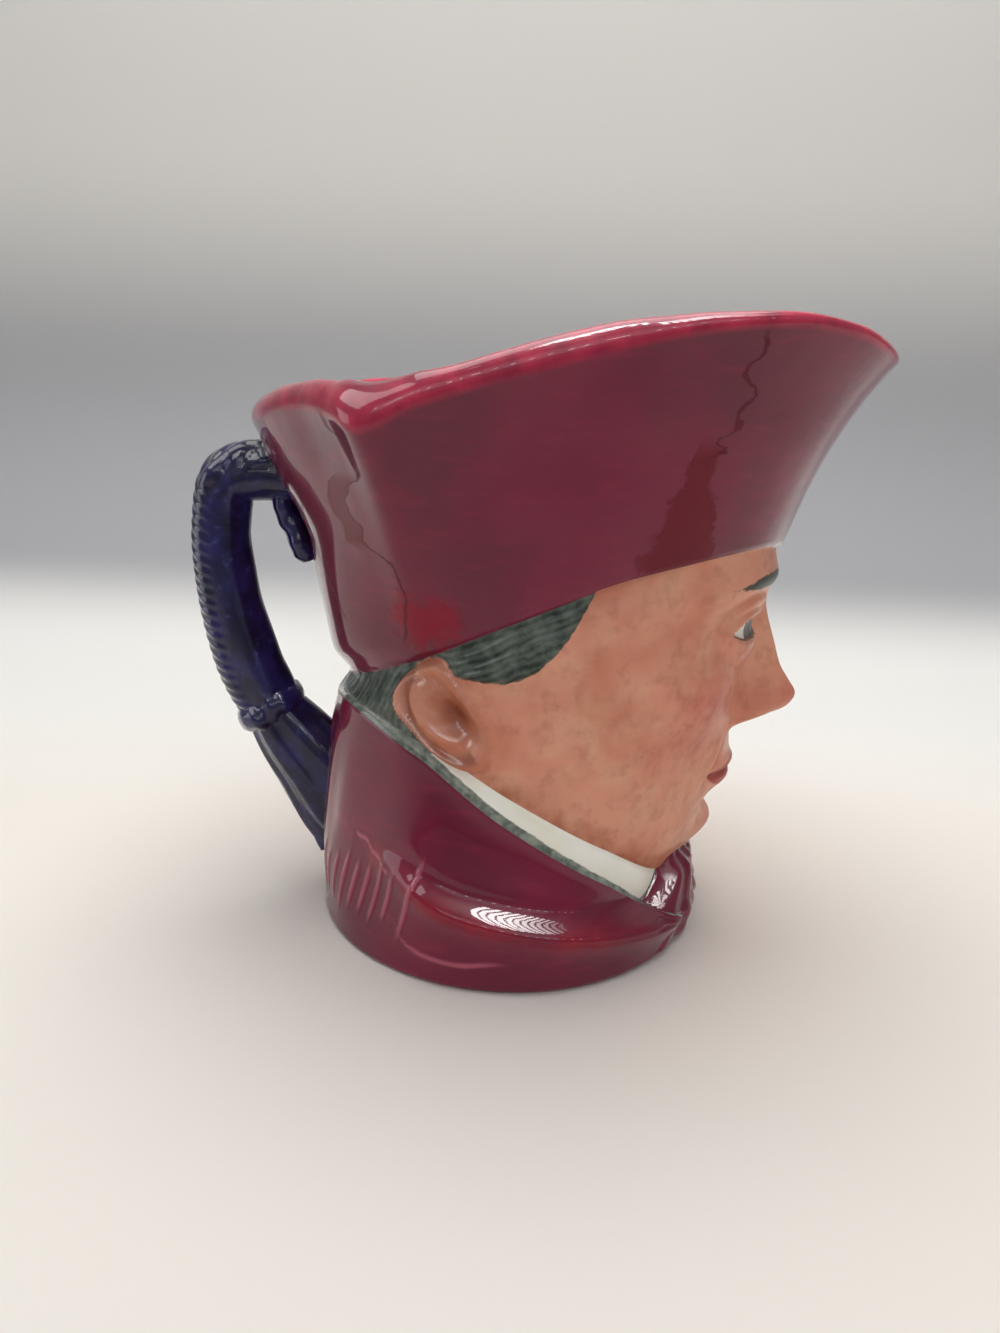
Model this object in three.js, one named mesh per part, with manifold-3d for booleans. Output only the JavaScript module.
// A large glazed character jug: a man's head in a flared four-cornered cap, with a rope handle behind.
// Millimetres, +Z up. The origin is the centre of the underside, the face looks along -Y and the
// handle stands at +Y. An angle is in degrees round +Z, 0 at the middle of the face, and every
// named curve is even in it. The two sides match, but for the rim, whose corner dips less on the +X side.

import * as THREE from "three";
import Module from "manifold-3d";

const DEGREE = Math.PI / 180;

// Walls and foot
const WALL = 5;
const FLOOR = 6;
const FLOOR_ROUND = 9;
const MOUTH_CLEARANCE = 20;
const FOOT_HALF_WIDTH = 57.1;
const FOOT_HALF_DEPTH = 54.3;
const FOOT_ROUND = 1.6;
const FOOT_RING_WIDTH = 8;
const UNDERSIDE_RECESS = 0.8;

// Steps between the zones of the outside
const ROBE_STEP = 0.9;
const BRIM_STEP = 1.6;
const HAIR_ROOM = 0.9;
const STEP_HEIGHT = 0.7;

// The fold round the robe, the fullness of its back and the knot under the chin
const FOLD_BULGE = 1.1;
const FOLD_ROLL = 1.9;
const FOLD_GROOVE = 0.9;
const FOLD_SOFTNESS = 3;
const BACK_FULLNESS = 2.3;
const KNOT_TOP = 22.6;
const KNOT_ROUND = 1.6;
const KNOT_ROOT_RADIUS = 45.5;
const KNOT_ARC_RADIUS = 54;

// The rim of the cap, and its corners over the ears, where it is broader
const LIP_BULGE = 1.9;
const CORNER_ANGLE = 118;
const CORNER_BREADTH = 3.2;
const FAR_RISE = 1.8;
const FAR_RISE_ANGLE = 106;

// The head, whose features stand at the classic thirds: brow, base of the nose, chin
const CHIN = 17;
const THIRD = 41.5;
const NOSE_BASE = CHIN + THIRD;
const BROW = CHIN + 2 * THIRD;
const EYE = BROW - 11;
const EYE_WIDTH = 19.6;
const MOUTH = NOSE_BASE - THIRD / 3;
const FACE_ARC_RADIUS = 57;

// The ear, a tilted ellipse on the side of the head
const EAR_ANGLE = 109;
const EAR_HEIGHT = 69.5;
const EAR_TILT = 43;
const EAR_HALF_LENGTH = 15.4;
const EAR_HALF_WIDTH = 9;
const EAR_REAR_SHARE = 0.72;
const EAR_ARC_RADIUS = 50;

// Smooth curves round the jug, as [angle, value] knots
const collarLow = evenCurve([0, 4], [30, 9.2], [60, 25], [90, 42.3], [120, 59], [150, 65.5], [180, 63]);
const collarTop = evenCurve([0, 15], [30, 20.4], [60, 34.4], [90, 50.2], [115, 61.6], [140, 67], [180, 65]);
const collarRadius = evenCurve([0, 48], [40, 48.2], [80, 49.5], [110, 49], [140, 48.5], [180, 47.6]);
const brim = evenCurve([0, 108.5], [25, 111.8], [60, 106.2], [90, 95.6], [120, 83.4], [150, 74], [180, 68]);
const brimRadius = evenCurve(
  [0, 71], [20, 68.5], [40, 61.5], [60, 54.5], [90, 50.4], [120, 49], [150, 47.2], [180, 46],
);
const rimEdge = evenCurve(
  [0, 155.2], [10, 155.9], [20, 158.6], [30, 162], [42, 163.6], [55, 162.3], [70, 158.5], [80, 155.3],
  [90, 152.1], [100, 148.7], [109, 144.9], [119, 139.2], [125, 141.5], [135, 143], [146, 142], [160, 139],
  [180, 136.2],
);
const rimRadius = evenCurve(
  [0, 93.5], [10, 92.8], [20, 90.3], [40, 80.5], [60, 70.5], [80, 64.8], [100, 66], [110, 69.8], [119.5, 74],
  [128, 71], [140, 68.5], [160, 69.8], [180, 72],
);
const lipLean = evenCurve([0, 0.3], [55, 0.3], [80, 0.8], [100, 1], [180, 0.8]);
const foldHeight = evenCurve([0, 8], [30, 11], [70, 16.5], [100, 22], [130, 30], [180, 34]);
// The inner edge of the rim stands above its outer edge, most of all round the corner on the -X side.
const lipRise = heightCurve(
  [-180, 3], [-160, 3.4], [-140, 3.2], [-128, 3.3], [-119, 4.6], [-112, 3.6], [-104, 2.7], [-95, 2.9],
  [-85, 3.3], [-75, 3.1], [-60, 1.7], [-45, 0.8], [0, 0.3], [45, 0.8], [60, 1.7], [75, 3.1], [85, 3.2],
  [95, 2.3], [105, 1.5], [119, 1.8], [130, 0.8], [145, 1.4], [160, 2.4], [180, 3],
);
const knotProfile = heightCurve(
  [0, 0], [2, 0.6], [4.6, 0.9], [7.8, 1.5], [11, 0.5], [15, -0.2], [19, -0.7], [23, -2],
);

// Forms of the head against height, as [height, value] knots
const headHalfWidth = heightCurve([17, 48], [45, 49], [80, 50.2], [112, 51]);
const headFront = heightCurve(
  [17, 50], [28, 54], [45, 58], [60, 60.5], [76, 62.5], [88, 65], [100, 68], [112, 69.5],
);
const headSquareness = heightCurve([20, 1.8], [35, 1.9], [70, 2.15], [112, 2.15]);
const HEAD_BACK = 46.5;

// The nose against height: how far it stands out, and its half width
const noseReach = heightCurve(
  [54, 0], [57, 2], [60, 12], [62.5, 16.4], [65.5, 17.6], [69, 16], [74, 12.8], [80, 9.8], [92, 3.6],
  [103, 0],
);
const noseHalfWidth = heightCurve([54, 8], [62, 7.2], [70, 5.8], [82, 4.8], [92, 4.8], [102, 6.5]);

// Flare of the cap: its share of the reach against its share of the height, behind the corners
const tuckedFlare = heightCurve(
  [0, 0], [0.1, 0.19], [0.25, 0.29], [0.435, 0.375], [0.54, 0.42], [0.68, 0.575], [0.8, 0.755], [0.95, 0.94],
  [1, 1],
);

function clamp01(value) {
  return Math.min(Math.max(value, 0), 1);
}

function smooth(value) {
  const t = clamp01(value);
  return t * t * (3 - 2 * t);
}

function mix(from, to, share) {
  return from + (to - from) * share;
}

// A quarter-round ease: steep at 0, level at 1.
function roundedEase(value) {
  const t = clamp01(value);
  return Math.sqrt(1 - (1 - t) * (1 - t));
}

function bell(distance, width) {
  return Math.exp(-((distance / width) ** 2));
}

// A flat-topped bell.
function plateau(distance, width) {
  return Math.exp(-((distance / width) ** 4));
}

// A monotone cubic through knots of rising first value, level beyond the ends.
function heightCurve(...knots) {
  const last = knots.length - 1;
  const secants = knots.slice(1).map(([at, value], i) => (value - knots[i][1]) / (at - knots[i][0]));
  const slopes = knots.map((_, i) => {
    if (i === 0 || i === last || secants[i - 1] * secants[i] <= 0) return 0;
    return (2 * secants[i - 1] * secants[i]) / (secants[i - 1] + secants[i]);
  });
  return (at) => {
    if (at <= knots[0][0]) return knots[0][1];
    if (at >= knots[last][0]) return knots[last][1];
    const i = knots.findIndex(([start]) => start > at) - 1;
    const span = knots[i + 1][0] - knots[i][0];
    const t = (at - knots[i][0]) / span;
    return (
      knots[i][1] * (1 + 2 * t) * (1 - t) ** 2 +
      slopes[i] * span * t * (1 - t) ** 2 +
      knots[i + 1][1] * t * t * (3 - 2 * t) -
      slopes[i + 1] * span * t * t * (1 - t)
    );
  };
}

function evenCurve(...knots) {
  const curve = heightCurve(...knots);
  return (angle) => curve(Math.abs(angle));
}

// ---- Forms, each a radius from the axis ----

function ovalRadius(angle, halfWidth, halfDepth, power = 2) {
  const across = Math.abs(Math.sin(angle * DEGREE)) / halfWidth;
  const along = Math.abs(Math.cos(angle * DEGREE)) / halfDepth;
  return (across ** power + along ** power) ** (-1 / power);
}

function footRadius(angle) {
  return ovalRadius(angle, FOOT_HALF_WIDTH, FOOT_HALF_DEPTH);
}

// The robe stands almost upright to its fold, then falls inwards to the collar.
function robeWall(angle, z) {
  const foot = footRadius(angle);
  const top = collarRadius(angle) + ROBE_STEP;
  const height = collarLow(angle);
  const fold = foldHeight(angle) / height;
  const share = clamp01(z / height);
  const plain = mix(foot, top, share ** 0.9);
  if (foldCover(angle) === 0) return plain;
  const above = clamp01((share - fold) / Math.max(1 - fold, 0.05));
  const below = foot + FOLD_BULGE * Math.sin((Math.PI / 2) * clamp01(share / fold));
  const folded = share < fold ? below : mix(foot + FOLD_BULGE, top, 1 - (1 - above) ** 1.7);
  return mix(plain, folded, foldCover(angle));
}

// How far the fold is formed: it fades out at the knot and at the back.
function foldCover(angle) {
  return smooth((Math.abs(angle) - 20) / 15) * smooth((138 - Math.abs(angle)) / 35);
}

// The wall of the robe with its fold rolled round, and fuller at the back.
function robeRadius(angle, z) {
  const offsets = [-FOLD_SOFTNESS, 0, FOLD_SOFTNESS];
  const wall = offsets.reduce((sum, offset) => sum + robeWall(angle, z + offset), 0) / offsets.length;
  const above = z - foldHeight(angle);
  const roll = (FOLD_ROLL * bell(above + 1, 2.5) - FOLD_GROOVE * bell(above - 4, 2.4)) * foldCover(angle);
  const behind = smooth((Math.abs(angle) - 128) / 30);
  return wall + roll + BACK_FULLNESS * behind * smooth(z / 24) * smooth((76 - z) / 26);
}

// The angle at which the knot ends, wider lower down.
function knotEdge(z) {
  return Math.min(32 + 1.6 * (20.4 - z), 52);
}

// The knot under the chin, with a rounded hem that lies on the collar.
function knotRadius(angle, z) {
  const across = Math.abs(angle) * DEGREE * KNOT_ARC_RADIUS;
  const hemRoll = 0.9 * bell(across - 17 - 0.35 * (20 - z), 3.4) * smooth((22 - z) / 6);
  const pleats = (0.8 * bell(across - 9, 3) - 0.7 * bell(across, 3)) * smooth(z / 4);
  const middle = footRadius(angle) + knotProfile(z) + hemRoll + pleats;
  const onRobe = z < collarLow(angle) + 0.5;
  const hem = onRobe ? robeWall(angle, z) - 0.5 : collarRadius(angle) + 1.5;
  const inwards = (knotEdge(z) - Math.abs(angle)) * DEGREE * KNOT_ARC_RADIUS;
  return mix(hem, middle, smooth(inwards / 8));
}

function rimHeight(angle) {
  return rimEdge(angle) + FAR_RISE * bell(angle - FAR_RISE_ANGLE, 20);
}

function headForm(angle, z) {
  const depth = Math.abs(angle) < 90 ? headFront(z) : HEAD_BACK;
  const middle = ovalRadius(angle, headHalfWidth(z), depth, headSquareness(z));
  const hairRoom = HAIR_ROOM * smooth((Math.abs(angle) - 40) / 15);
  const top = brimRadius(angle) - BRIM_STEP - hairRoom;
  const upper = mix(top, middle, smooth((brim(angle) - z) / 12));
  const jawRound = mix(9, 5, smooth(Math.abs(angle) / 50));
  return mix(collarRadius(angle) + 0.6, upper, roundedEase((z - collarTop(angle)) / jawRound));
}

// The cap flares from the brim to the rim; share runs from 0 to 1 up its wall.
function capRadius(angle, share) {
  const front = 0.68 * share + 0.32 * share ** 3;
  const side = 0.72 * share + 0.28 * share ** 3.5;
  const open = mix(front, side, smooth((Math.abs(angle) - 30) / 30));
  const flare = mix(open, tuckedFlare(share), smooth((Math.abs(angle) - 122) / 26));
  return mix(brimRadius(angle), rimRadius(angle), flare);
}

// ---- Relief of the face, as a distance outwards at x across the face and at height z ----

function noseRelief(x, z) {
  const bridge = noseReach(z) * Math.exp(-((Math.abs(x) / noseHalfWidth(z)) ** 2.2));
  const wings = 5.2 * bell(Math.abs(x) - 9, 4.2) * bell(z - NOSE_BASE - 4, 3.8);
  const nostrils = 2.4 * bell(Math.abs(x) - 4.6, 2.4) * bell(z - NOSE_BASE + 0.4, 1.8);
  return bridge + wings - nostrils;
}

function eyeRelief(x, z) {
  const across = Math.abs(x) - EYE_WIDTH;
  const up = z - EYE;
  const browArch = BROW + 1.5 - 0.006 * (Math.abs(x) - 24) ** 2;
  const ridge = 2.3 * bell(z - browArch, 4.6) * plateau(Math.abs(x) - 19, 20);
  const socket = 5 * bell(across, 11.5) * bell(up - 1, 7);
  const corner = 2.6 * bell(Math.abs(x) - 10.5, 4.5) * bell(up - 1.5, 6);
  const ball = 5 * Math.sqrt(Math.max(0, 1 - (across / 11.5) ** 2 - (up / 8.5) ** 2));
  return ridge - socket - corner + ball;
}

function mouthRelief(x, z) {
  const muzzle = 3.4 * bell(x, 17) * bell(z - MOUTH - 2, 11);
  const upperLip = 2.3 * plateau(x, 14) * bell(z - MOUTH - 3, 2.7);
  const lowerLip = 2.9 * plateau(x, 12) * bell(z - MOUTH + 3.6, 3);
  const parting = 2.4 * plateau(x, 16) * bell(z - MOUTH, 1.2);
  const hollow = 2.4 * bell(x, 12) * bell(z - MOUTH + 10.5, 3.4);
  return muzzle + upperLip + lowerLip - parting - hollow;
}

function cheekRelief(x, z) {
  const bone = 2.8 * bell(Math.abs(x) - 34, 14) * bell(z - EYE + 13, 9);
  const cheekHollow = 1.6 * bell(Math.abs(x) - 35, 12) * bell(z - MOUTH - 5, 11);
  const chin = 5.5 * bell(x, 12) * bell(z - CHIN - 8, 7.5);
  return bone - cheekHollow + chin;
}

function earRelief(angle, z) {
  const back = (Math.abs(angle) - EAR_ANGLE) * DEGREE * EAR_ARC_RADIUS;
  const up = z - EAR_HEIGHT;
  const along = up * Math.cos(EAR_TILT * DEGREE) + back * Math.sin(EAR_TILT * DEGREE);
  const across = back * Math.cos(EAR_TILT * DEGREE) - up * Math.sin(EAR_TILT * DEGREE);
  const halfWidth = across > 0 ? EAR_HALF_WIDTH * EAR_REAR_SHARE : EAR_HALF_WIDTH;
  const ring = Math.hypot(along / EAR_HALF_LENGTH, across / halfWidth);
  const plate = (3.2 + 0.36 * across) * smooth((1.16 - ring) / 0.34);
  const helix = 1.5 * bell(ring - 0.8, 0.2);
  const bowl = 3.6 * bell(along + 1, 6.5) * bell(across + 1, 3.8);
  return (plate + helix - bowl) * smooth((brim(angle) - z) / 4);
}

function headRadius(angle, z) {
  const x = angle * DEGREE * FACE_ARC_RADIUS;
  const face = noseRelief(x, z) + eyeRelief(x, z) + mouthRelief(x, z) + cheekRelief(x, z);
  const faceShare = smooth((75 - Math.abs(angle)) / 20);
  return headForm(angle, z) + face * faceShare + earRelief(angle, z);
}

// ---- Rows of the outside, from the foot to the outer edge of the rim ----

// The rows of the robe gather at its fold, half way up their share.
function robePoint(angle, share) {
  const top = collarLow(angle);
  const fold = Math.min(foldHeight(angle), 0.6 * top);
  const z = share < 0.5 ? mix(FOOT_ROUND, fold, 2 * share) : mix(fold, top, 2 * share - 1);
  return [robeRadius(angle, z), z];
}

function collarPoint(angle, share) {
  return [collarRadius(angle), mix(collarLow(angle) + STEP_HEIGHT, collarTop(angle), share)];
}

function headPoint(angle, share) {
  const z = mix(collarTop(angle) + STEP_HEIGHT, brim(angle) - STEP_HEIGHT, share);
  return [headRadius(angle, z), z];
}

function capPoint(angle, share) {
  return [capRadius(angle, share), mix(brim(angle), rimHeight(angle), share)];
}

function cornerBreadth(angle) {
  return CORNER_BREADTH * bell(Math.abs(angle) - CORNER_ANGLE, 10);
}

// Round the thickness of the rim, from its outer edge at 0 to its inner edge at 1.
function lipPoint(angle, share) {
  const step = 0.02;
  const outwards = (capRadius(angle, 1) - capRadius(angle, 1 - step)) / step;
  const upwards = rimHeight(angle) - brim(angle);
  const slope = Math.hypot(outwards, upwards);
  const turn = Math.PI * share;
  const inwards = ((WALL + cornerBreadth(angle)) / 2) * (1 - Math.cos(turn));
  const bulge = LIP_BULGE * Math.sin(turn);
  const rise = (inwards * outwards * lipLean(angle)) / slope + lipRise(angle) * share * (2 - share);
  const radius = rimRadius(angle) + (bulge * outwards - inwards * upwards) / slope;
  return [radius, rimHeight(angle) + (bulge * upwards) / slope + rise];
}

// The same outside without its relief, which the inside follows one wall away. The share runs from
// 0 at the floor to 1 at the brim and 2 at the rim.
function plainPoint(angle, share) {
  if (share > 1) {
    const [radius, height] = capPoint(angle, share - 1);
    return [radius - cornerBreadth(angle) * (share - 1), height];
  }
  const z = mix(FLOOR, brim(angle), share);
  const neck = collarRadius(angle);
  const lower = z < collarLow(angle) ? robeWall(angle, z) - ROBE_STEP : neck;
  const upper = Math.max(neck, brimRadius(angle) - BRIM_STEP - 3);
  const rise = smooth((z - collarTop(angle)) / (brim(angle) - collarTop(angle)));
  return [mix(lower, upper, rise), z];
}

// One wall in from the plain outside, square to it in its upright plane.
function insidePoint(angle, share) {
  const step = 0.03;
  const [r, z] = plainPoint(angle, share);
  const [r0, z0] = plainPoint(angle, Math.max(share - step, 0));
  const [r1, z1] = plainPoint(angle, Math.min(share + step, 2));
  const length = Math.hypot(r1 - r0, z1 - z0);
  return [r - (WALL * (z1 - z0)) / length, z + (WALL * (r1 - r0)) / length];
}

// ---- Meshes ----

function* steps(from, to, count) {
  for (let i = 0; i < count; i++) yield mix(from, to, i / count);
}

const halfTurn = [...steps(0, 54, 15), ...steps(54, 95, 5), ...steps(95, 127, 11), ...steps(127, 180, 6)];
const columns = [...halfTurn.slice(1).reverse().map((angle) => -angle), ...halfTurn, 180];

function place(angle, [r, z]) {
  return [r * Math.sin(angle * DEGREE), -r * Math.cos(angle * DEGREE), z];
}

// A closed surface through rings of points, with a point at each end.
function ringedSolid(rings, start, end) {
  const size = rings[0].length;
  const positions = [start, ...rings.flat(), end].flat();
  const index = [];
  const at = (ring, i) => 1 + ring * size + (i % size);
  const last = 1 + rings.length * size;
  for (let i = 0; i < size; i++) {
    index.push(0, at(0, i + 1), at(0, i));
    index.push(last, at(rings.length - 1, i), at(rings.length - 1, i + 1));
    for (let ring = 0; ring < rings.length - 1; ring++) {
      index.push(at(ring, i), at(ring, i + 1), at(ring + 1, i + 1));
      index.push(at(ring, i), at(ring + 1, i + 1), at(ring + 1, i));
    }
  }
  const geometry = new THREE.BufferGeometry();
  geometry.setAttribute("position", new THREE.Float32BufferAttribute(positions, 3));
  geometry.setIndex(index);
  return geometry;
}

function ringsOf(point, shares) {
  return shares.map((share) => columns.map((angle) => place(angle, point(angle, share))));
}

const robeShares = [0, 0.25, 0.4, 0.5, 0.6, 0.76, 1];
const headShares = [...steps(0, 1, 17), 1];
const capShares = [0, 0.1, 0.28, 0.52, 0.74, 0.89, 1];
const lipShares = [0.25, 0.5, 0.85];
const insideShares = [0.03, 0.15, 0.35, 0.6, 0.85, 1.06, 1.3, 1.6, 1.9];

function insideRings() {
  return ringsOf(insidePoint, insideShares);
}

function jugShell() {
  const foot = (inwards, z) => columns.map((angle) => place(angle, [footRadius(angle) - inwards, z]));
  const underside = foot(FOOT_RING_WIDTH + 1, UNDERSIDE_RECESS);
  const ringInner = foot(FOOT_RING_WIDTH, 0);
  const ringOuter = foot(FOOT_ROUND, 0);
  const floor = foot(WALL + FLOOR_ROUND, FLOOR);
  const outside = [
    ...ringsOf(robePoint, robeShares),
    ...ringsOf(collarPoint, [0, 1]),
    ...ringsOf(headPoint, headShares),
    ...ringsOf(capPoint, capShares),
    ...ringsOf(lipPoint, lipShares),
  ];
  const rings = [underside, ringInner, ringOuter, ...outside, ...insideRings().reverse(), floor];
  return ringedSolid(rings, [0, 0, UNDERSIDE_RECESS], [0, 0, FLOOR]);
}

// The space inside the jug and above its mouth, used to keep what is joined on out of it.
function jugSpace() {
  const above = MOUTH_CLEARANCE;
  const mouth = columns.map((angle) => place(angle, [rimRadius(angle) - WALL - 1, rimHeight(angle) + above]));
  return ringedSolid([...insideRings(), mouth], [0, 0, FLOOR], [0, 0, rimHeight(0) + 2 * above]);
}

// The knot as a solid of its own, whose rear lies inside the wall of the jug.
function knotSolid() {
  const rows = [...steps(FOOT_ROUND + 0.4, KNOT_TOP - KNOT_ROUND, 8), KNOT_TOP - KNOT_ROUND, KNOT_TOP];
  const front = [...steps(-1, 1, 26), 1];
  const rear = [1, 0.5, 0, -0.5, -1];
  const rings = rows.map((z) => {
    const drop = z === KNOT_TOP ? KNOT_ROUND : 0;
    const outer = front.map((share) => {
      const angle = share * knotEdge(z);
      return place(angle, [knotRadius(angle, z) - drop, z]);
    });
    const inner = rear.map((share) => place(share * knotEdge(z), [KNOT_ROOT_RADIUS, z]));
    return [...outer, ...inner];
  });
  const middle = (z) => [0, -KNOT_ROOT_RADIUS - 5, z];
  return ringedSolid(rings, middle(rows[0]), middle(KNOT_TOP));
}

// ---- The handle, a twisted rope in the plane x = 0 ----

const ROPE_SIDES = 12;
const ROPE_STRANDS = 3;
const ROPE_TWIST = 4.5;

// A round cord along [y, z, radius in the plane, radius across it] points. Its strands, twisted
// round it, are cut in by strandDepth, a share of the radius.
function cord(points, stations, strandDepth) {
  const line = new THREE.CatmullRomCurve3(points.map(([y, z]) => new THREE.Vector3(0, y, z)));
  const girths = points.map(([, , radius, across], i) => new THREE.Vector3(i, radius, across));
  const girth = new THREE.CatmullRomCurve3(girths);
  const rings = [...Array(stations + 1).keys()].map((station) => {
    const share = station / stations;
    const centre = line.getPoint(share);
    const tangent = line.getTangent(share);
    const { y: radius, z: across } = girth.getPoint(share);
    return [...Array(ROPE_SIDES).keys()].map((side) => {
      const turn = (-2 * Math.PI * side) / ROPE_SIDES;
      const strand = Math.cos(ROPE_STRANDS * turn - 2 * Math.PI * ROPE_TWIST * share) - 1;
      const reach = 1 + strandDepth * strand;
      const outwards = radius * reach * Math.cos(turn);
      const sideways = across * reach * Math.sin(turn);
      return [sideways, centre.y + outwards * tangent.z, centre.z - outwards * tangent.y];
    });
  });
  const first = line.getPoint(0);
  const last = line.getPoint(1);
  return ringedSolid(rings, [0, first.y, first.z], [0, last.y, last.z]);
}

// The loop itself, from the back of the cap down to the ring knot
const loop = [
  [60, 122, 7.8, 7.8], [71, 122.8, 8.4, 8.2], [79.8, 119.8, 8.2, 8.2], [82.3, 107.5, 8.3, 8.2],
  [82, 96, 8.6, 8.3], [79.8, 82, 9.1, 8.6], [75.7, 68, 9.7, 8.8], [70.8, 57.5, 9.2, 8.2], [68, 52, 6.5, 6],
];
// The knuckle of the knot at the top, and the loose end that hangs from it
const knuckle = [
  [60, 126, 6, 7], [69.5, 126.2, 6.2, 8.7], [76.5, 123.4, 7.2, 9.2], [81.6, 118, 7.9, 9.2],
  [83.4, 112.5, 6.8, 8],
];
const looseEnd = [
  [66.5, 120, 3.4, 4.6], [64, 111.9, 3.7, 5], [61.3, 106.3, 4, 5.3], [59.2, 101.4, 4, 5.1],
  [58, 98.8, 2.6, 3.4],
];
// The ring knot, and the flared tassel under it
const ringKnot = [
  [78.2, 50.2, 3.4, 5], [74.8, 52.2, 5.8, 9.6], [69.5, 55.6, 6.8, 10.6], [65, 58.4, 5.8, 9.4],
  [62, 60.2, 3.4, 5],
];
const tassel = [
  [71, 57, 8, 8], [64, 47.5, 11.2, 9], [57, 38.5, 13, 9.6], [50, 29, 15, 9.8], [46, 24.5, 16, 9.4],
  [43, 20.5, 17, 9],
];

function handleCords() {
  const plain = [cord(knuckle, 6, 0), cord(looseEnd, 6, 0), cord(ringKnot, 5, 0)];
  return [cord(loop, 22, 0.05), ...plain, cord(tassel, 7, 0.04)];
}

// ---- Booleans ----

const manifold = await Module();
manifold.setup();

function solidOf(geometry) {
  const mesh = new manifold.Mesh({
    numProp: 3,
    vertProperties: Float32Array.from(geometry.getAttribute("position").array),
    triVerts: Uint32Array.from(geometry.getIndex().array),
  });
  mesh.merge();
  return new manifold.Manifold(mesh);
}

function geometryOf(solid) {
  const mesh = solid.getMesh();
  const geometry = new THREE.BufferGeometry();
  geometry.setAttribute("position", new THREE.Float32BufferAttribute(mesh.vertProperties, 3));
  geometry.setIndex([...mesh.triVerts]);
  return geometry.toNonIndexed();
}

const shell = solidOf(jugShell());
const added = [knotSolid(), ...handleCords()].map(solidOf).reduce((whole, piece) => whole.add(piece));
const joined = shell.add(added.subtract(solidOf(jugSpace())));
// Slivers of air shut in between the cords of the handle are dropped with their bodies.
const [whole] = joined.decompose().sort((a, b) => b.volume() - a.volume());
const jugGeometry = geometryOf(whole);
jugGeometry.computeVertexNormals();

const glaze = new THREE.MeshStandardMaterial({ color: 0x7a1230, roughness: 0.15, metalness: 0 });
const jug = new THREE.Mesh(jugGeometry, glaze);
jug.name = "jug";

const part = new THREE.Group();
part.add(jug);

export default part;
